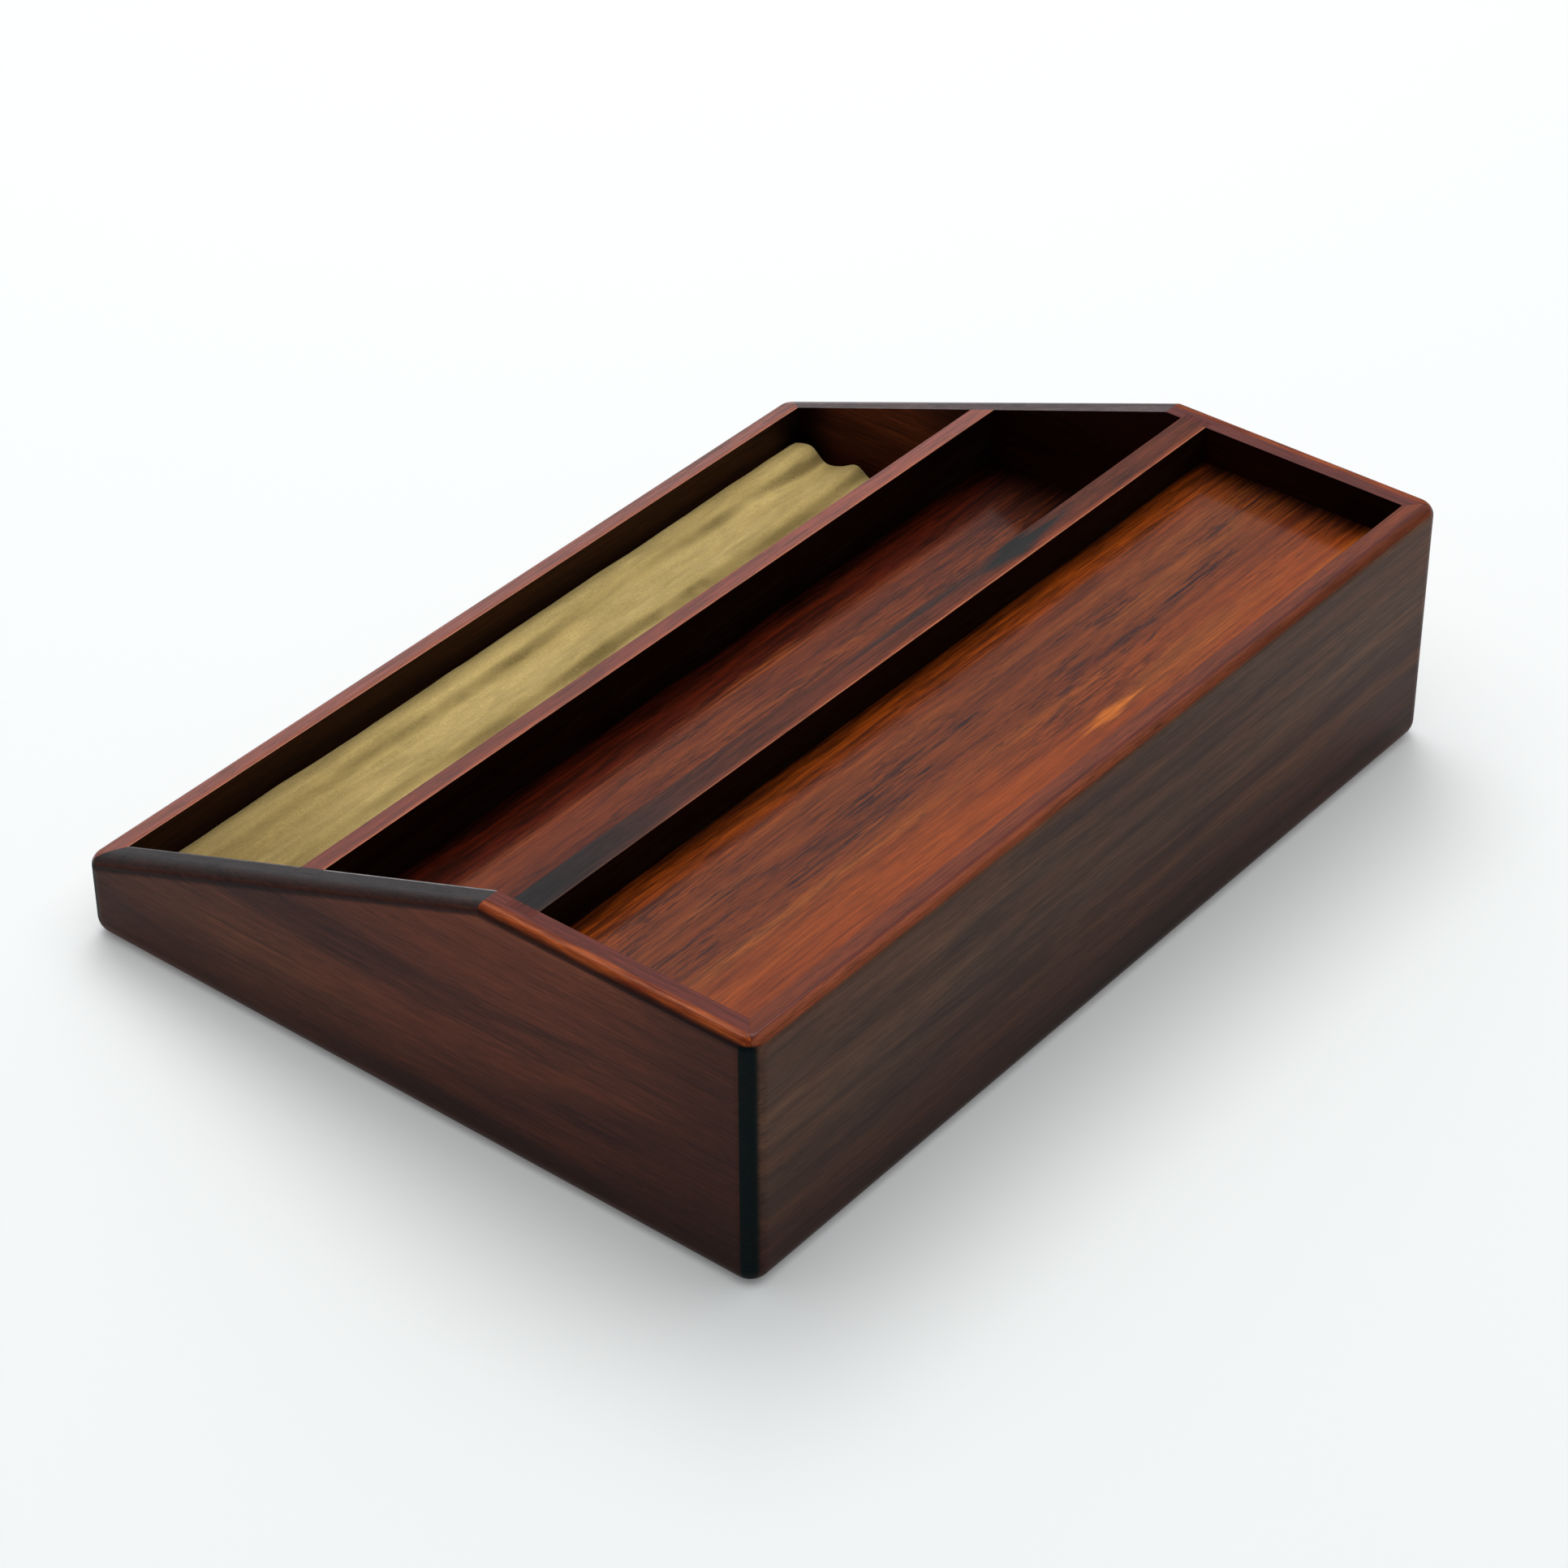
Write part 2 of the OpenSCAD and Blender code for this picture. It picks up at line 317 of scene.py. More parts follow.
def wood(name, along, palette, finish, coat, gloss=0.07, figure_width=6.5 * MM):
    """Stained and lacquered wood whose grain runs along one axis.

    palette is the figure's dark, middle and light colours and the colour of its dark streaks.
    finish paints the stain, and painted highlights, reflections and shade, over the figure by place,
    and says how much coat and how much of the streaks each place has.
    """
    material, graph = new_material(name)
    dark, middle, light, streak = palette
    figure, streaks, fibres, pores, threads = grain_masks(graph, along, figure_width)
    colour = graph.mix(graph.step(figure, 0.30, 0.55), dark, middle)
    colour = graph.mix(graph.step(figure, 0.52, 0.74), colour, light)
    colour, coat_share, streak_share = finish(graph, Places(graph), colour, coat)
    colour = graph.mix(graph.product(streaks, streak_share, 0.85), colour, streak)
    colour = graph.tint(colour, graph.linear(fibres, 1.8, 0.10))
    colour = graph.tint(colour, graph.linear(threads, 1.2, 0.40))
    colour = graph.mix(graph.product(pores, streak_share, 0.6), colour, streak)
    relief = graph.math("SUBTRACT", fibres, graph.math("MULTIPLY", pores, 0.8))
    shader = graph.node("ShaderNodeBsdfPrincipled", Base_Color=colour)
    graph.put(shader.inputs["Coat Weight"], coat_share)
    graph.put(shader.inputs["Roughness"], graph.linear(fibres, 0.16, 0.42))
    shader.inputs["Specular IOR Level"].default_value = 0.05
    shader.inputs["Coat Roughness"].default_value = gloss
    graph.put(shader.inputs["Normal"], graph.bump(relief, 0.05 * MM))
    graph.surface(shader)
    return material


def line_bays(graph, at, colour, coat, pad_shade):
    """Painted shade on the thinly coated upright faces inside the bays, and a coat that is fullest on
    the tops.

    pad_shade is the painted shade of the faces round the pad. Those of the other bays get darker
    painted shade, and the far corner of the front panel a painted shadow.
    """
    upright = graph.step(graph.math("ABSOLUTE", at.tilt_z), 0.6, 0.4)
    between_x = graph.step(at.reach_x, INNER_X + 0.6 * MM, INNER_X + 0.3 * MM)
    behind_front = graph.step(at.y, CASE_LOW.y + 5.0 * MM, CASE_LOW.y + 5.5 * MM)
    before_back = graph.step(at.y, CASE_HIGH.y - 5.0 * MM, CASE_HIGH.y - 5.5 * MM)
    inside = graph.product(upright, between_x, behind_front, before_back)
    shade = graph.mix(graph.step(at.y, *PAST_PAD_BAY), pad_shade, BAY_SHADE)
    # Painted shadow in the far corner of the front panel
    nook = graph.product(graph.step(at.x, CASE_LOW.x + 20 * MM, CASE_LOW.x + 8 * MM),
                         graph.step(at.y, CASE_LOW.y + 21 * MM, CASE_LOW.y + 10 * MM))
    shade = graph.mix(graph.math("MULTIPLY", nook, 0.9), shade, NOOK_SHADE)
    colour = graph.mix(inside, colour, graph.tint(colour, shade))
    share = graph.node("ShaderNodeMapRange", Value=at.up)
    share.inputs["To Min"].default_value = coat * SIDE_COAT
    share.inputs["To Max"].default_value = coat
    thin = graph.linear(inside, INSIDE_COAT - 1, 1.0)
    return colour, graph.math("MULTIPLY", share.outputs["Result"], thin)


def blacken_corner(graph, at, colour, coat):
    """Near-black, uncoated colour on the case's rounded vertical corners, tinted teal as a painted dark
    reflection.
    """
    edge_x = graph.step(at.reach_x, CASE_HIGH.x - 3.0 * MM, CASE_HIGH.x - 1.8 * MM)
    edge_y = graph.step(at.reach_y, CASE_HIGH.y - 3.6 * MM, CASE_HIGH.y - 3.3 * MM)
    below = graph.step(at.tilt_z, 0.62, 0.40)
    corner = graph.product(edge_x, edge_y, below)
    colour = graph.mix(corner, colour, BLACK_CORNER)
    return colour, graph.math("MULTIPLY", coat, graph.math("SUBTRACT", 1.0, corner))


def patch(graph, at, x, y, length, width):
    """Share of a ragged spindle-shaped patch in the stain, length x width metres, at x and y."""
    along = graph.linear(at.x, 2 / length, -2 * x / length)
    across = graph.linear(at.y, 2 / width, -2 * y / width)
    reach = graph.math("ADD", graph.math("ABSOLUTE", along), graph.math("ABSOLUTE", across))
    ragged = graph.noise(stretched(graph, "X", 20 * MM, 1.3 * MM), 4, 0.65)
    return graph.step(graph.math("ADD", reach, graph.linear(ragged, 1.6, -0.8)), 1.1, 0.4)


def outer_fall(graph, at):
    """Share from low to high on the outer faces, for the painted shade that darkens them towards the
    foot.
    """
    return graph.step(at.z, 0.0, 0.65 * CASE_HIGH.z)


def end_sides(graph, at, colour):
    """Tints an end panel: darker to the foot as painted shade, darker to the back, and greyer and
    darker to the front.
    """
    fall = outer_fall(graph, at)
    off_back = graph.step(at.y, CASE_HIGH.y - 2 * MM, CASE_HIGH.y - 50 * MM)
    off_front = graph.step(at.y, *UP_THE_SLOPE)
    # Painted shade towards the foot, times the darkening to the back and to the front
    tone = graph.product(graph.linear(fall, 0.75, 0.50), graph.linear(off_back, 0.60, 0.40),
                         graph.linear(off_front, 0.12, 0.88))
    colour = graph.tint(colour, tone)
    return graph.mix(off_front, graph.tint(colour, LOW_END_TINT), colour)


def end_ramp(graph, at, colour, ramp, ramp_colour, pale_arris):
    """Smoky painted reflection where ramp is 1, which browns to the outer edge and has a painted
    highlight, a pale line, along its inner edge.
    """
    smoke = graph.noise(stretched(graph, "Y", 30 * MM, 2.0 * MM), 4, 0.6)
    smoky = graph.tint(ramp_colour, graph.linear(smoke, 2.4, -0.2))
    browned = graph.mix(smoke, RAMP_EDGE_DARK, RAMP_EDGE_LIGHT)
    edge = graph.step(graph.math("ADD", at.reach_x, graph.linear(smoke, 4 * MM, -2 * MM)),
                      CASE_HIGH.x - 3.4 * MM, CASE_HIGH.x - 1.8 * MM)
    colour = graph.mix(ramp, colour, graph.mix(edge, smoky, browned))
    # Painted highlight along the ramp's inner arris, fuller from the middle bay to the back
    arris = graph.step(at.reach_x, INNER_X + 0.45 * MM, INNER_X + 0.25 * MM)
    line = graph.linear(graph.step(at.y, *INTO_MIDDLE_BAY), 0.45, 0.30)
    line = graph.math("MULTIPLY", line, pale_arris)
    return graph.mix(graph.product(ramp, arris, line), colour, PALE_ARRIS_HIGHLIGHT)


def end_finish(ramp_colour, pad_shade, pale_arris):
    """Finish of an end panel: flat top with a painted copper highlight on its outer edge, a darker ramp
    top coloured as a painted reflection, and a painted dark reflection on the tops' outer rim.

    pad_shade is the painted shade of its face beside the pad, and pale_arris is how much of the
    painted highlight, a pale line along the ramp's inner edge, shows.
    """

    def finish(graph, at, colour, coat):
        colour = end_sides(graph, at, colour)
        colour, coat = line_bays(graph, at, colour, coat, pad_shade)
        level = graph.math("MULTIPLY", at.up, graph.step(at.tilt_y, -0.30, -0.16))
        ramp = graph.math("MULTIPLY", at.up, graph.step(at.tilt_y, -0.16, -0.30))
        outer = graph.step(at.reach_x, CASE_HIGH.x - 3.8 * MM, CASE_HIGH.x - 2.4 * MM)
        rim = graph.step(at.reach_x, CASE_HIGH.x - 1.2 * MM, CASE_HIGH.x - 0.4 * MM)
        colour = graph.mix(level, colour, FLAT_TOP)
        # Painted copper highlight on the flat top's rounded outer edge
        sway = graph.noise(stretched(graph, "Y", 14 * MM, 1.0 * MM), 3, 0.6)
        copper = graph.mix(graph.step(sway, 0.35, 0.65), COPPER_HIGHLIGHT_DARK, COPPER_HIGHLIGHT_LIGHT)
        colour = graph.mix(graph.product(level, outer), colour, copper)
        colour = end_ramp(graph, at, colour, ramp, ramp_colour, pale_arris)
        # Painted dark reflection on the rim of the tops
        top = graph.step(at.tilt_z, 0.05, 0.35)
        colour = graph.mix(graph.product(top, rim, 0.85), colour, RIM_DARK_REFLECTION)
        dull = graph.linear(graph.product(level, outer), -0.6, 1.0)
        colour, coat = blacken_corner(graph, at, colour, graph.math("MULTIPLY", dull, coat))
        return colour, coat, graph.linear(at.up, -0.1, 0.35)

    return finish


def rail_tops(graph, at, upper):
    """Mottled stain of the tops of the front panel, the lower divider and the upper divider."""
    mottle = graph.noise(stretched(graph, "X", 18 * MM, 1.6 * MM), 4, 0.6)
    front_top = graph.mix(at.share_x, FRONT_TOP_FAR, FRONT_TOP_NEAR)
    lower_top = graph.mix(graph.step(at.share_x, 0.75, 0.15), LOWER_TOP_NEAR, LOWER_TOP_FAR)
    stain = graph.mix(graph.step(at.y, *PAST_FRONT_PANEL), front_top, lower_top)
    stain = graph.mix(upper, stain, UPPER_TOP)
    return graph.tint(stain, graph.linear(mottle, 1.2, 0.40))


def rail_finish(graph, at, colour, coat):
    """Finish of the front panel and dividers: pink-brown tops with a painted copper highlight on the
    arris.

    The upper divider's top is darker, with slate patches. Where the lower divider is let into an
    end panel, its top takes that panel's painted ramp reflection, and where the upper one is, the
    panel's flat-top colour.
    """
    colour, coat = line_bays(graph, at, colour, coat, RAIL_PAD_SHADE)
    upper = graph.step(at.y, *PAST_LOWER_DIVIDER)
    colour = graph.mix(graph.math("MULTIPLY", at.up, 0.92), colour, rail_tops(graph, at, upper))
    # Painted copper highlight and arris highlight along the tops' edge, weaker on the upper divider
    sway = graph.noise(stretched(graph, "X", 26 * MM, 40 * MM), 2)
    across = graph.math("ADD", at.share_y, graph.math("MULTIPLY", sway, 0.35))
    copper = graph.product(at.up, graph.step(across, 0.90, 1.04), graph.linear(upper, -0.45, 1.0))
    colour = graph.mix(copper, colour, RAIL_COPPER_HIGHLIGHT)
    arris = graph.product(at.up, graph.step(at.share_y, 0.93, 0.97), graph.linear(sway, 1.2, 0.1))
    colour = graph.mix(arris, colour, RAIL_ARRIS_HIGHLIGHT)
    colour = graph.mix(graph.product(at.up, upper, slate_share(graph, at)), colour, SLATE)
    housed = graph.product(at.up, graph.step(at.reach_x, INNER_X - 0.2 * MM, INNER_X + 0.2 * MM),
                           graph.step(at.y, *PAST_FRONT_MITRES))
    # Housed tops of the lower divider take the end panels' painted ramp reflection
    ramp = graph.mix(graph.step(at.x, *TO_NEAR_END), FAR_RAMP_REFLECTION, NEAR_RAMP_REFLECTION)
    colour = graph.mix(housed, colour, graph.mix(upper, ramp, FLAT_TOP))
    colour, coat = blacken_corner(graph, at, colour, coat)
    coat = graph.math("MULTIPLY", coat, graph.linear(upper, -0.42, 1.0))
    return colour, coat, graph.linear(at.up, -0.4, 1.0)


def slate_share(graph, at):
    """Share of slate on the upper divider: a tapered patch, its thin tail and a dark near end."""
    spindle = patch(graph, at, **SLATE_PATCH)
    tail = patch(graph, at, **SLATE_TAIL)
    ragged = graph.noise(stretched(graph, "X", 22 * MM, 1.5 * MM), 4, 0.6)
    place = graph.math("ADD", at.x, graph.linear(ragged, 30 * MM, -15 * MM))
    near = graph.step(place, 20 * MM, 108 * MM)
    dark = graph.math("MAXIMUM", graph.math("MULTIPLY", spindle, 0.95),
                      graph.math("MULTIPLY", near, 0.92))
    return graph.math("MAXIMUM", dark, graph.math("MULTIPLY", tail, 0.7))


def back_finish(graph, at, colour, coat):
    """Finish of the back panel: painted shade to the foot and painted light to the head, greyer bands,
    and a top that rounds over in a painted copper highlight past a dark line.
    """
    fall = outer_fall(graph, at)
    # Painted shade to the foot, painted light to the head
    colour = graph.tint(colour, graph.mix(fall, BACK_FOOT_SHADE, BACK_HEAD_LIGHT))
    bands = graph.step(graph.noise(stretched(graph, "X", 110 * MM, 15 * MM), 3, 0.55), 0.42, 0.62)
    banded = graph.tint(colour, BACK_BAND_TINT)
    colour = graph.mix(graph.math("MULTIPLY", bands, 0.5), colour, banded)
    colour = graph.tint(colour, graph.linear(at.share_x, -0.30, 1.22))
    colour, coat = line_bays(graph, at, colour, coat, BAY_SHADE)
    colour = graph.mix(graph.math("MULTIPLY", at.up, 0.85), colour, BACK_TOP)
    line = graph.product(graph.step(at.share_y, 0.50, 0.58), graph.step(at.share_y, 0.72, 0.62))
    colour = graph.mix(graph.product(at.up, line, 0.7), colour, BACK_LINE)
    # Painted copper highlight where the top rounds over
    over = graph.product(at.up, graph.step(at.share_y, 0.66, 0.74))
    rounded = graph.mix(graph.step(at.share_x, 0.60, 0.20), BACK_EDGE_HIGHLIGHT_NEAR, BACK_EDGE_HIGHLIGHT_FAR)
    colour = graph.mix(over, colour, rounded)
    colour, coat = blacken_corner(graph, at, colour, coat)
    return colour, coat, graph.linear(at.up, 0.1, 0.35)


def floor_shade_band(graph, at, colour, shift, tone, share, gone, full):
    """Blotched warm band of one tone beside a floor's front edge: painted shade and painted dark
    reflection from the divider at that edge.

    share is how much of it shows, and gone and full are the shares of the width where it ends and
    where all of it shows.
    """
    place = graph.math("ADD", at.share_y, graph.math("MULTIPLY", shift, 0.13))
    band = graph.product(graph.step(place, gone, full), share)
    blotch = graph.noise(stretched(graph, "X", 20 * MM, 1.2 * MM), 4, 0.7, 0.4)
    blotched = graph.tint(tone, graph.linear(graph.step(blotch, 0.36, 0.66), 1.4, 0.38))
    return graph.mix(band, colour, blotched)


def shaded_from(graph, share, shift, reach):
    """From 0 at one edge of a floor to 1 at reach, a share of its size, with a ragged limit."""
    return graph.step(graph.math("ADD", share, graph.math("MULTIPLY", shift, reach)), 0.0, reach)


def floor_finish(front_shade, far_shade, shade_band, inner_tint, streaked):
    """Finish of a bay's floor: painted shade that darkens it to the front edge and the far end.

    The shades are the shares of the floor's width and length over which it darkens, and shade_band,
    the band of painted shade, is what floor_shade_band takes. inner_tint tints all but the strip beside
    the back edge, and streaked is how much of the dark streaks shows. The amber and flame patches lie
    on the upper floor.
    """

    def finish(graph, at, colour, coat):
        ragged = graph.noise(stretched(graph, "X", 12 * MM, 0.7 * MM), 4, 0.65)
        shift = graph.linear(ragged, 0.9, -0.45)
        # Band of painted shade beside the front edge
        colour = floor_shade_band(graph, at, colour, shift, **shade_band)
        # Painted shade darkening to the front edge and the far end
        front = shaded_from(graph, at.share_y, shift, front_shade)
        far = shaded_from(graph, at.share_x, shift, far_shade)
        colour = graph.tint(colour, graph.linear(graph.product(front, far), 0.96, 0.04))
        inner = graph.step(at.share_y, 0.85, 0.45)
        colour = graph.tint(colour, graph.mix(inner, FLOOR_BACK_TINT, inner_tint))
        amber = graph.math("MULTIPLY", patch(graph, at, **AMBER_PATCH), 0.55)
        colour = graph.mix(amber, colour, AMBER)
        flame = graph.math("MULTIPLY", patch(graph, at, **FLAME_PATCH), 0.7)
        colour = graph.mix(flame, colour, FLAME)
        across = graph.linear(graph.step(at.x, -30 * MM, 60 * MM), 0.14, at.share_y)
        heart = graph.product(graph.step(across, 0.22, 0.38), graph.step(across, 0.80, 0.60))
        return colour, coat, graph.linear(heart, 0.80 * streaked, 0.22 * streaked)

    return finish


# ---------------------------------------------------------------- other materials

def grainy_material(name, cell, shape, dark, light, roughness, relief, sheen=0.0):
    """Matt material mottled by one noise, with cells of one size.

    shape is the noise's detail and roughness, and its distortion if it has any.
    """
    material, graph = new_material(name)
    place = graph.node("ShaderNodeTexCoord").outputs["Object"]
    grain = graph.noise(graph.vector("MULTIPLY", place, [1 / cell] * 3), *shape)
    colour = graph.mix(grain, dark, light)
    shader = graph.node("ShaderNodeBsdfPrincipled", Base_Color=colour)
    shader.inputs["Roughness"].default_value = roughness
    shader.inputs["Sheen Weight"].default_value = sheen
    graph.put(shader.inputs["Normal"], graph.bump(grain, relief))
    graph.surface(shader)
    return material


def felt_material():
    return grainy_material("green_felt", 0.5 * MM, (4, 0.7, 0.6), rgb(0.012, 0.022, 0.012),
                           rgb(0.035, 0.055, 0.030), roughness=1.0, relief=0.3 * MM, sheen=0.4)


def board_material():
    return grainy_material("grey_board", 0.9 * MM, (4, 0.7), rgb(0.20, 0.19, 0.16),
                           rgb(0.34, 0.32, 0.27), roughness=0.9, relief=0.1 * MM)


def wadding_material():
    return grainy_material("white_wadding", 0.6 * MM, (3, 0.7), rgb(0.55, 0.52, 0.42),
                           rgb(0.75, 0.72, 0.62), roughness=0.95, relief=0.2 * MM)


# Suede: its nap laid and brushed, its painted shade and scuffs, the tint of its near end, and its sheen
SUEDE_LAID = rgb(0.42, 0.295, 0.100)
SUEDE_BRUSHED = rgb(0.54, 0.395, 0.145)
# Painted shade on the slopes that face the back
SUEDE_SHADE = rgb(0.140, 0.094, 0.026)
SUEDE_SCUFF = rgb(0.26, 0.185, 0.062)
SUEDE_NEAR_TINT = rgb(0.66, 0.64, 0.61)
SUEDE_SHEEN = rgb(1.0, 0.9, 0.62)

# Height of the cells of its patches, so that they hardly change from ribs to valleys
SUEDE_CELL_HEIGHT = 25 * MM


def suede_patches(graph, length, width, detail, roughness, distortion):
    """Noise over the suede whose cells are length x width metres, length along the ribs."""
    place = graph.node("ShaderNodeTexCoord").outputs["Object"]
    scale = (1 / length, 1 / width, 1 / SUEDE_CELL_HEIGHT)
    return graph.noise(graph.vector("MULTIPLY", place, scale), detail, roughness, distortion)


def suede_colour(graph, nap):
    """Brushed khaki nap with painted shade, in patches, where it faces the back, and scuffed patches.
    """
    brushed = suede_patches(graph, 45 * MM, 3.5 * MM, 3, 0.6, 0.3)
    mottle = suede_patches(graph, 16 * MM, 5 * MM, 4, 0.65, 0.6)
    rubbed = suede_patches(graph, 30 * MM, 8 * MM, 3, 0.6, 0.8)
    colour = graph.mix(graph.step(brushed, 0.3, 0.7), SUEDE_LAID, SUEDE_BRUSHED)
    colour = graph.tint(colour, graph.linear(mottle, 0.80, 0.575))
    colour = graph.tint(colour, graph.linear(nap, 0.9, 0.55))
    tilt_y = graph.axes(graph.node("ShaderNodeNewGeometry").outputs["Normal"])[1]
    speckle = graph.math("ADD", graph.linear(brushed, 0.5, -0.25), graph.linear(nap, 0.6, -0.3))
    # Painted shade on the slopes that face the back, away from the light, stronger in patches
    turned = graph.step(graph.math("ADD", tilt_y, speckle), 0.26, 0.66)
    shade_patches = graph.linear(graph.step(rubbed, 0.34, 0.56), 0.45, 0.36)
    colour = graph.mix(graph.product(turned, shade_patches), colour, SUEDE_SHADE)
    scuffed = graph.math("MULTIPLY", graph.step(rubbed, 0.56, 0.74), 0.35)
    colour = graph.mix(scuffed, colour, SUEDE_SCUFF)
    x = graph.axes(graph.node("ShaderNodeTexCoord").outputs["Object"])[0]
    return graph.mix(graph.step(x, 45 * MM, 100 * MM), colour, graph.tint(colour, SUEDE_NEAR_TINT))


def suede_material():
    """Khaki suede with a short fuzz that catches the light."""
    material, graph = new_material("khaki_suede")
    place = graph.node("ShaderNodeTexCoord").outputs["Object"]
    nap = graph.noise(graph.vector("MULTIPLY", place, [1 / (0.55 * MM)] * 3), 4, 0.75)
    shader = graph.node("ShaderNodeBsdfPrincipled", Base_Color=suede_colour(graph, nap))
    shader.inputs["Roughness"].default_value = 0.92
    shader.inputs["Specular IOR Level"].default_value = 0.2
    shader.inputs["Sheen Weight"].default_value = 0.25
    shader.inputs["Sheen Roughness"].default_value = 0.5
    shader.inputs["Sheen Tint"].default_value = SUEDE_SHEEN
    graph.put(shader.inputs["Normal"], graph.bump(nap, 0.18 * MM))
    graph.surface(shader)
    return material


# ---------------------------------------------------------------- wood pieces

ARRIS_WIDTH = 0.45 * MM
BACK_ARRIS_WIDTH = 0.3 * MM
MERGE_DISTANCE = 0.002 * MM
SHARP_EDGE = math.radians(25)
BEVELLED_EDGE = math.radians(30)
FLAT_WITHIN = math.radians(1)


def dress(node, material):
    """Gives a CAD node its material."""
    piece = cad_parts[node]
    for slot in piece.material_slots:
        slot.material = material
    return piece


def shading_nodes():
    """Node group that merges split vertices and shades smoothly, except across sharp edges."""
    group = bpy.data.node_groups.new("even_shading", "GeometryNodeTree")
    group.interface.new_socket("Geometry", in_out="INPUT", socket_type="NodeSocketGeometry")
    group.interface.new_socket("Geometry", in_out="OUTPUT", socket_type="NodeSocketGeometry")
    nodes = group.nodes
    links = group.links
    start = nodes.new("NodeGroupInput")
    merge = nodes.new("GeometryNodeMergeByDistance")
    merge.inputs["Distance"].default_value = MERGE_DISTANCE
    angle = nodes.new("GeometryNodeInputMeshEdgeAngle")
    sharp = nodes.new("FunctionNodeCompare")
    sharp.inputs[1].default_value = SHARP_EDGE
    normal = nodes.new("GeometryNodeSetMeshNormal")
    normal.mode = "SHARPNESS"
    end = nodes.new("NodeGroupOutput")
    links.new(start.outputs[0], merge.inputs["Geometry"])
    links.new(merge.outputs[0], normal.inputs[0])
    links.new(angle.outputs["Unsigned Angle"], sharp.inputs[0])
    links.new(sharp.outputs[0], normal.inputs["Edge Sharpness"])
    links.new(normal.outputs[0], end.inputs[0])
    return group


def soften(piece, shading, width):
    """Eases a wooden piece's arrises, as sanding and lacquer leave them."""
    smooth = piece.modifiers.new("shading", "NODES")
    smooth.node_group = shading
    flat = piece.modifiers.new("flat_faces", "DECIMATE")
    flat.decimate_type = "DISSOLVE"
    flat.angle_limit = FLAT_WITHIN
    bevel = piece.modifiers.new("arris", "BEVEL")
    bevel.width = width
    bevel.segments = 3
    bevel.limit_method = "ANGLE"
    bevel.angle_limit = BEVELLED_EDGE
    normals = piece.modifiers.new("normals", "WEIGHTED_NORMAL")
    normals.keep_sharp = True


def plain_finish(graph, at, colour, coat):
    """Finish of a hidden board: the same figure, coat and streaks all over."""
    return colour, coat, 1.0


def dress_end_panels(shading):
    near_finish = end_finish(NEAR_RAMP_REFLECTION, NEAR_PAD_SHADE, pale_arris=1.0)
    far_finish = end_finish(FAR_RAMP_REFLECTION, FAR_PAD_SHADE, pale_arris=0.15)
    near = wood("end_wood_near", "Y", END_PALETTE, near_finish, coat=0.45, figure_width=18 * MM)
    far = wood("end_wood_far", "Y", END_PALETTE, far_finish, coat=0.45, figure_width=18 * MM)
    soften(dress("right_end_panel", near), shading, ARRIS_WIDTH)
    soften(dress("left_end_panel", far), shading, ARRIS_WIDTH)


def dress_rails(shading):
    rail = wood("rail_wood", "X", RAIL_PALETTE, rail_finish, coat=0.5)
    for node in ("front_panel", "upper_divider", "lower_divider"):
        soften(dress(node, rail), shading, ARRIS_WIDTH)
    back = wood("back_wood", "X", RAIL_PALETTE, back_finish, coat=0.42)
    soften(dress("back_panel", back), shading, BACK_ARRIS_WIDTH)


def dress_bay_floors():
    # Painted shade bands beside the dividers at the floors' front edges
    upper_shade_band = {"tone": UPPER_SHADE_TONE, "share": 0.75, "gone": 0.28, "full": 0.14}
    middle_shade_band = {"tone": MIDDLE_SHADE_TONE, "share": 0.95, "gone": 0.28, "full": 0.20}
    upper_finish = floor_finish(front_shade=0.10, far_shade=0.07, shade_band=upper_shade_band,
                                inner_tint=UPPER_FLOOR_TINT, streaked=1.1)
    middle_finish = floor_finish(front_shade=0.15, far_shade=0.16, shade_band=middle_shade_band,
                                 inner_tint=MIDDLE_FLOOR_TINT, streaked=0.85)
    upper = wood("upper_floor_wood", "X", UPPER_PALETTE, upper_finish, coat=0.38, gloss=0.16)
    middle = wood("middle_floor_wood", "X", MIDDLE_PALETTE, middle_finish, coat=0.38, gloss=0.16)
    dress("upper_floor", upper)
    dress("middle_floor", middle)


def dress_case():
    shading = shading_nodes()
    dress_end_panels(shading)
    dress_rails(shading)
    dress_bay_floors()
    dress("base_board", wood("base_wood", "X", BASE_PALETTE, plain_finish, coat=0.1))
    dress("base_felt", felt_material())
    dress("pad_board", board_material())
    dress("pad_core", wadding_material())


# ---------------------------------------------------------------- studio

# Paper under the tray: its colour, how far its glow lifts it to white, and how far it reaches
PAPER = rgb(0.80, 0.81, 0.80)
PAPER_LIFT = 0.14
FLOOR_REACH = 6.0

# World: the way to the bright backdrop, how far it wraps round and how fast it fades to the room
BACKDROP_WAY = Vector((-0.62, -0.53, 0.58)).normalized()
BACKDROP_WRAP = 0.3
BACKDROP_FALL = 4.0
BACKDROP = rgb(0.80, 0.80, 0.84)
ROOM = rgb(0.09, 0.11, 0.12)


def add_floor():
    """White paper under the tray, lifted a little towards white."""
    material, graph = new_material("studio_paper")
    shader = graph.node("ShaderNodeBsdfPrincipled", Base_Color=PAPER)
    shader.inputs["Roughness"].default_value = 0.9
    shader.inputs["Emission Color"].default_value = rgb(1.0, 1.0, 1.0)
    shader.inputs["Emission Strength"].default_value = PAPER_LIFT
    graph.surface(shader)
    corners = [(x * FLOOR_REACH, y * FLOOR_REACH, 0) for x, y in ((-1, -1), (1, -1), (1, 1), (-1, 1))]
    mesh = bpy.data.meshes.new("studio_floor")
    mesh.from_pydata(corners, [], [(0, 1, 2, 3)])
    mesh.materials.append(material)
    floor = bpy.data.objects.new("studio_floor", mesh)
    bpy.context.scene.collection.objects.link(floor)


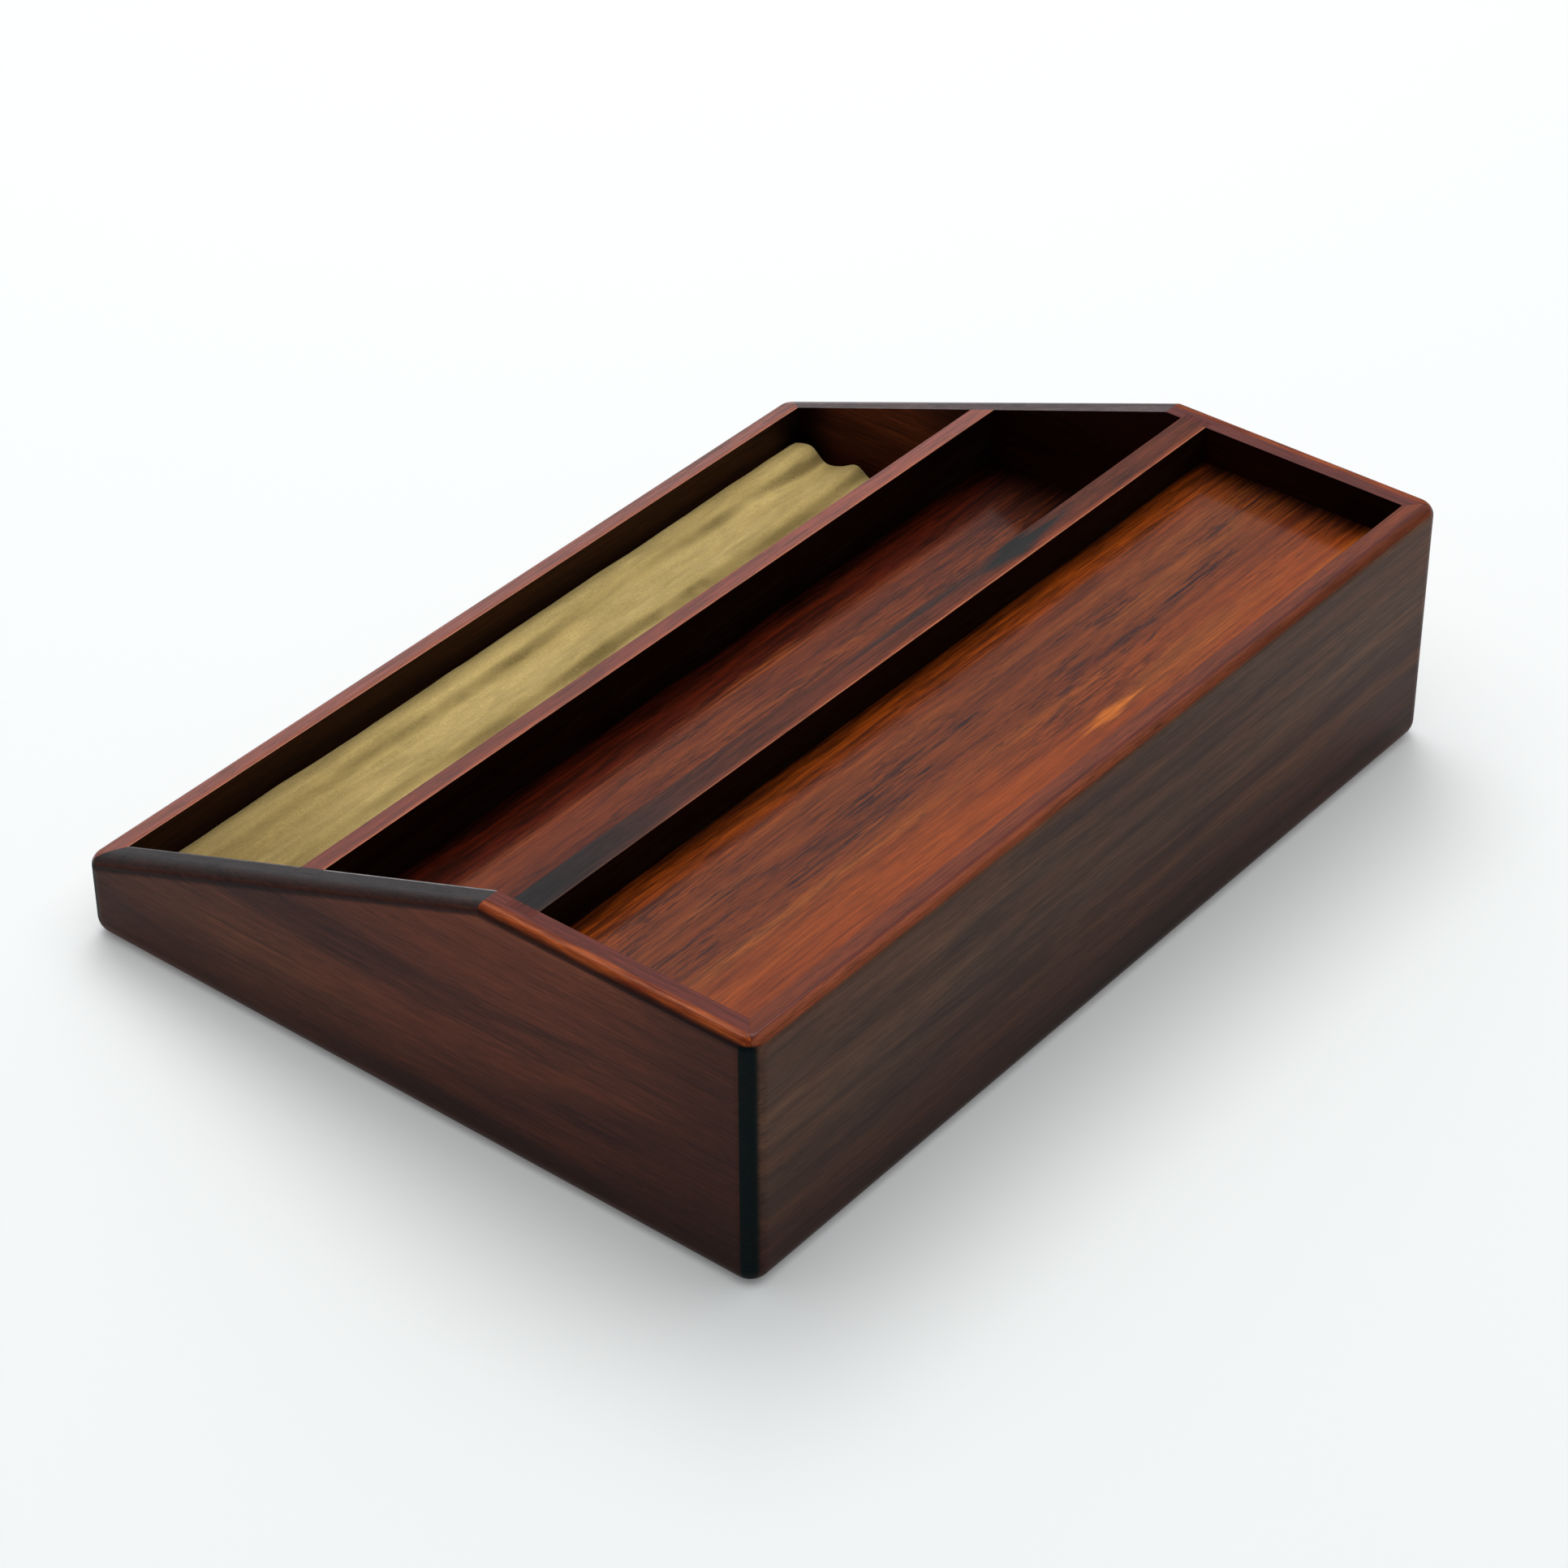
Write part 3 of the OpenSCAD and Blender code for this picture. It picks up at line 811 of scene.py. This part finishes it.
def add_world():
    """Bright backdrop behind the tray, dim room on the side that the camera is on."""
    world = bpy.data.worlds.new("studio")
    bpy.context.scene.world = world
    world.use_nodes = True
    graph = Graph(world.node_tree)
    way = graph.node("ShaderNodeTexCoord").outputs["Generated"]
    behind = graph.math("ADD", graph.vector("DOT_PRODUCT", way, BACKDROP_WAY), BACKDROP_WRAP)
    share = graph.math("MULTIPLY", behind, 1 / (1 + BACKDROP_WRAP), clamp=True)
    colour = graph.mix(graph.math("POWER", share, BACKDROP_FALL), ROOM, BACKDROP)
    shade = graph.node("ShaderNodeBackground", Color=colour)
    output = graph.tree.nodes.new("ShaderNodeOutputWorld")
    graph.tree.links.new(shade.outputs[0], output.inputs["Surface"])


def aim(thing, place, target):
    """Puts a lamp or camera at place, looking at target."""
    thing.location = place
    thing.rotation_euler = (Vector(target) - Vector(place)).to_track_quat("-Z", "Y").to_euler()


def add_softbox(name, place, target, side, power, mirrored):
    """Square softbox; one that is not mirrored lights the tray without showing in its gloss."""
    light = bpy.data.lights.new(name, "AREA")
    light.shape = "SQUARE"
    light.size = side
    light.energy = power
    lamp = bpy.data.objects.new(name, light)
    lamp.visible_glossy = mirrored
    bpy.context.scene.collection.objects.link(lamp)
    aim(lamp, place, target)


def add_camera():
    """Camera that looks down on the tray over its tall near corner."""
    data = bpy.data.cameras.new("camera")
    data.lens = VIEW_LENS
    data.sensor_width = VIEW_SENSOR
    data.shift_y = VIEW_SHIFT_Y
    camera = bpy.data.objects.new("camera", data)
    bpy.context.scene.collection.objects.link(camera)
    out = Vector((
        math.sin(VIEW_AZIMUTH) * math.cos(VIEW_ELEVATION),
        -math.cos(VIEW_AZIMUTH) * math.cos(VIEW_ELEVATION),
        math.sin(VIEW_ELEVATION),
    ))
    aim(camera, VIEW_TARGET + out * VIEW_DISTANCE, VIEW_TARGET)
    camera.rotation_euler.rotate_axis("Z", VIEW_ROLL)
    bpy.context.scene.camera = camera


def add_studio():
    add_camera()
    add_floor()
    add_world()
    add_softbox("softbox_behind", place=(-0.46, -0.61, 1.61), target=(0, 0, 0),
                side=1.0, power=7.5, mirrored=True)
    add_softbox("softbox_above", place=(0, 0.1, 2.0), target=(0, 0, 0),
                side=3.0, power=34, mirrored=False)
    add_softbox("softbox_backdrop", place=(-0.62, -0.52, 1.0), target=(-0.55, -0.45, 0),
                side=0.5, power=1.5, mirrored=False)
    bpy.context.scene.view_settings.view_transform = "Standard"


# ---------------------------------------------------------------- suede pad

PAD_LOW, PAD_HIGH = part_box("pad_cover")
PAD_MIDDLE_X = (PAD_LOW.x + PAD_HIGH.x) / 2
PAD_MIDDLE_Y = (PAD_LOW.y + PAD_HIGH.y) / 2
SUEDE_THICKNESS = 0.9 * MM

# Ribs: their pitch, how far they lean to one side, and how far they wander
RIB_PITCH = 13.6 * MM
RIB_LEAN = math.radians(50)
RIB_SHIFT = 1.62 * MM
RIB_WANDER = 1.1 * MM

# Valleys: their depth, the share of it lost at the near end, the share of it that is steady and
# the share that varies, and the shares left of the outermost two at the far and near ends
VALLEY_DEPTH = 2.6 * MM
NEAR_SOFTENING = 0.45
STEADY_DEPTH = 0.90
VARYING_DEPTH = 0.6
OUTER_VALLEY_FAR = 0.35
OUTER_VALLEY_NEAR = 0.60

# Lumps and creases on the top, its lift at the far end, and how far it is kept below the cover's
LUMP = 0.34 * MM
CREASE = 0.16 * MM
FAR_LIFT = 0.45 * MM
TOP_CLEARANCE = 0.10 * MM

# Roundings of the pad's edges and corners, its hem, and how far its far end is drawn in
EDGE_R = 1.6 * MM
BOTTOM_R = 0.8 * MM
PAD_CORNER_R = 2.5 * MM
HEM_WIDTH = 9 * MM
END_PULL = 0.7 * MM
END_PULL_REACH = 14 * MM

# Mesh steps along, across, round the edges and under the hem
ROWS = 150
COLUMNS = 56
EDGE_STEPS = 5
BOTTOM_STEPS = 3
HEM_STEPS = 2

# Cloth: how long it settles, how far it may move a point, how often the moves are averaged, how
# firmly ribs are held and how much more valleys are, and below what height the hem is held fully
SETTLE_FRAMES = 20
SETTLE_CAP = 0.6 * MM
EVENING_PASSES = 8
RIB_PIN = 0.35
VALLEY_PIN = 0.6
HEM_HEIGHT = 3 * MM


def ripple(x, y, size, seed):
    """Smooth noise from -1 to 1 over the pad, stretched along the ribs."""
    return noise.noise(Vector((x / (size * 3.0), y / size, seed)))


def pad_top(x, y):
    """Height of the suede's top: four ribs that wander, soften to one end and dip at both."""
    off_middle = y + RIB_WANDER * ripple(x, y, size=16 * MM, seed=3.1) - PAD_MIDDLE_Y
    phase = 2 * math.pi * off_middle / RIB_PITCH
    near = (x - PAD_LOW.x) / (PAD_HIGH.x - PAD_LOW.x)
    depth = VALLEY_DEPTH * (1.0 - NEAR_SOFTENING * near)
    depth *= min(1.0, STEADY_DEPTH + VARYING_DEPTH * ripple(x, y, size=11 * MM, seed=5.3))
    wave = (1 + math.cos(phase - RIB_LEAN * (1 - math.cos(phase)) / 2)) / 2
    if abs(off_middle - RIB_SHIFT) > 1.5 * RIB_PITCH:
        wave *= OUTER_VALLEY_FAR + (OUTER_VALLEY_NEAR - OUTER_VALLEY_FAR) * near
    lumps = LUMP * ripple(x, y, size=9 * MM, seed=7.7)
    creases = CREASE * ripple(x, y, size=4.5 * MM, seed=2.9)
    lift = FAR_LIFT * (1 - near) ** 4
    return PAD_HIGH.z - depth * wave + lift - TOP_CLEARANCE + lumps + creases


def pad_profile():
    """Steps from the top's rim to the hem: distance inside the outline, level, and height from it.

    The heights are how far below the top's rim a step is, or how far above the pad's underside.
    """
    steps = []
    for i in range(1, EDGE_STEPS + 1):
        turn = math.pi / 2 * i / EDGE_STEPS
        steps.append((EDGE_R * (1 - math.sin(turn)), "top", EDGE_R * (1 - math.cos(turn))))
    for i in range(1, BOTTOM_STEPS + 1):
        turn = math.pi / 2 * i / BOTTOM_STEPS
        steps.append((BOTTOM_R * (1 - math.cos(turn)), "bottom", BOTTOM_R * (1 - math.sin(turn))))
    for i in range(1, HEM_STEPS + 1):
        steps.append((BOTTOM_R + (HEM_WIDTH - BOTTOM_R) * i / HEM_STEPS, "bottom", 0.0))
    return steps


def rounded_plan(x, y):
    """Rounds the pad's corners in plan."""
    from_x = x - PAD_MIDDLE_X
    from_y = y - PAD_MIDDLE_Y
    straight_x = (PAD_HIGH.x - PAD_LOW.x) / 2 - PAD_CORNER_R
    straight_y = (PAD_HIGH.y - PAD_LOW.y) / 2 - PAD_CORNER_R
    u = max(0.0, abs(from_x) - straight_x) / PAD_CORNER_R
    v = max(0.0, abs(from_y) - straight_y) / PAD_CORNER_R
    if u == 0 or v == 0:
        return x, y
    round_u = u * math.sqrt(1 - v * v / 2)
    round_v = v * math.sqrt(1 - u * u / 2)
    return (PAD_MIDDLE_X + math.copysign(straight_x + round_u * PAD_CORNER_R, from_x),
            PAD_MIDDLE_Y + math.copysign(straight_y + round_v * PAD_CORNER_R, from_y))


def end_pull(x, y):
    """Draws the far end in at the valleys, so that the ribs end in round shoulders."""
    valley = (1 + math.cos(2 * math.pi * (y - PAD_MIDDLE_Y) / RIB_PITCH)) / 2
    reach = min(1.0, max(0.0, 1 - (x - PAD_LOW.x) / END_PULL_REACH))
    return x + END_PULL * valley * reach * reach


def top_rim():
    """Indices of the points round the top's grid, in order."""
    rim = list(range(COLUMNS))
    rim += [row * COLUMNS + COLUMNS - 1 for row in range(1, ROWS)]
    rim += [(ROWS - 1) * COLUMNS + column for column in range(COLUMNS - 2, -1, -1)]
    rim += [row * COLUMNS for row in range(ROWS - 2, 0, -1)]
    return rim


def spread(value, low, high, amount):
    """Widens a span by amount at each end, and moves what lies between in proportion."""
    share = (value - low) / (high - low)
    return low - amount + share * (high - low + 2 * amount)


def pad_mesh():
    """The suede as an open skin: ribbed top, rounded edges, sides and a hem turned under."""
    low_x, high_x = PAD_LOW.x + EDGE_R, PAD_HIGH.x - EDGE_R
    low_y, high_y = PAD_LOW.y + EDGE_R, PAD_HIGH.y - EDGE_R
    points = []
    for row in range(ROWS):
        for column in range(COLUMNS):
            x = low_x + (high_x - low_x) * row / (ROWS - 1)
            y = low_y + (high_y - low_y) * column / (COLUMNS - 1)
            points.append((x, y, pad_top(x, y)))
    faces = []
    for row in range(ROWS - 1):
        for column in range(COLUMNS - 1):
            a = row * COLUMNS + column
            faces.append((a, a + COLUMNS, a + COLUMNS + 1, a + 1))
    before = top_rim()
    rim = [points[i] for i in before]
    for inside, level, drop in pad_profile():
        loop = range(len(points), len(points) + len(rim))
        for x, y, z in rim:
            new_x = spread(x, low_x, high_x, EDGE_R - inside)
            new_y = spread(y, low_y, high_y, EDGE_R - inside)
            new_z = z - drop if level == "top" else PAD_LOW.z + drop
            points.append((new_x, new_y, new_z))
        for i in range(len(rim)):
            j = (i + 1) % len(rim)
            faces.append((before[i], before[j], loop[j], loop[i]))
        before = loop
    placed = []
    for x, y, z in points:
        x, y = rounded_plan(x, y)
        placed.append((end_pull(x, y), y, z))
    mesh = bpy.data.meshes.new("pad_suede")
    mesh.from_pydata(placed, [], faces)
    mesh.update()
    return mesh


def pin_shares(mesh):
    """How firmly the wadding and board hold each point: the hem fully, the valleys more than ribs."""
    shares = []
    for vertex in mesh.vertices:
        if vertex.index >= ROWS * COLUMNS and vertex.co.z < PAD_LOW.z + HEM_HEIGHT:
            shares.append(1.0)
            continue
        phase = 2 * math.pi * (vertex.co.y - PAD_MIDDLE_Y) / RIB_PITCH
        shares.append(RIB_PIN + VALLEY_PIN * max(0.0, math.cos(phase)))
    return shares


def evened(mesh, moves):
    """Averages each point's move with those of its neighbours, so that only broad puckers stay."""
    for _ in range(EVENING_PASSES):
        total = [move.copy() for move in moves]
        count = [1] * len(moves)
        for edge in mesh.edges:
            a, b = edge.vertices
            total[a] += moves[b]
            total[b] += moves[a]
            count[a] += 1
            count[b] += 1
        moves = [vector / number for vector, number in zip(total, count)]
    return moves


def settle(pad):
    """Lets the suede puff and pucker over the wadding: a short cloth simulation, then capped."""
    scene = bpy.context.scene
    held = pad.vertex_groups.new(name="held")
    for index, share in enumerate(pin_shares(pad.data)):
        held.add([index], share, "REPLACE")
    rest = [vertex.co.copy() for vertex in pad.data.vertices]
    cloth = pad.modifiers.new("cloth", "CLOTH")
    cloth.settings.vertex_group_mass = "held"
    cloth.settings.pin_stiffness = 0.6
    cloth.settings.mass = 0.2
    cloth.settings.tension_stiffness = 10
    cloth.settings.compression_stiffness = 10
    cloth.settings.bending_stiffness = 0.3
    cloth.settings.shrink_min = -0.04
    cloth.settings.use_pressure = True
    cloth.settings.uniform_pressure_force = 4
    cloth.settings.effector_weights.gravity = 0
    cloth.collision_settings.use_collision = False
    cloth.point_cache.frame_start = 1
    cloth.point_cache.frame_end = SETTLE_FRAMES
    scene.frame_start = 1
    scene.frame_end = SETTLE_FRAMES
    for step in range(1, SETTLE_FRAMES + 1):
        scene.frame_set(step)
    shaped = pad.evaluated_get(bpy.context.evaluated_depsgraph_get())
    moved = [vertex.co.copy() for vertex in shaped.data.vertices]
    pad.modifiers.remove(cloth)
    pad.vertex_groups.remove(held)
    scene.frame_set(1)
    moves = evened(pad.data, [now - before for now, before in zip(moved, rest)])
    for vertex, before, move in zip(pad.data.vertices, rest, moves):
        if move.length > SETTLE_CAP:
            move = move.normalized() * SETTLE_CAP
        vertex.co = before + move


def add_pad():
    """The suede skin over the pad's wadding, which rides on the loose pad."""
    mesh = pad_mesh()
    pad = bpy.data.objects.new("pad_suede", mesh)
    bpy.context.scene.collection.objects.link(pad)
    mesh.materials.append(suede_material())
    settle(pad)
    for face in mesh.polygons:
        face.use_smooth = True
    shell = pad.modifiers.new("leather_thickness", "SOLIDIFY")
    shell.thickness = SUEDE_THICKNESS
    shell.offset = -1
    fine = pad.modifiers.new("smooth", "SUBSURF")
    fine.levels = 1
    fine.render_levels = 1
    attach(pad, "pen_pad")
    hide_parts("pad_cover")


add_studio()
dress_case()
add_pad()
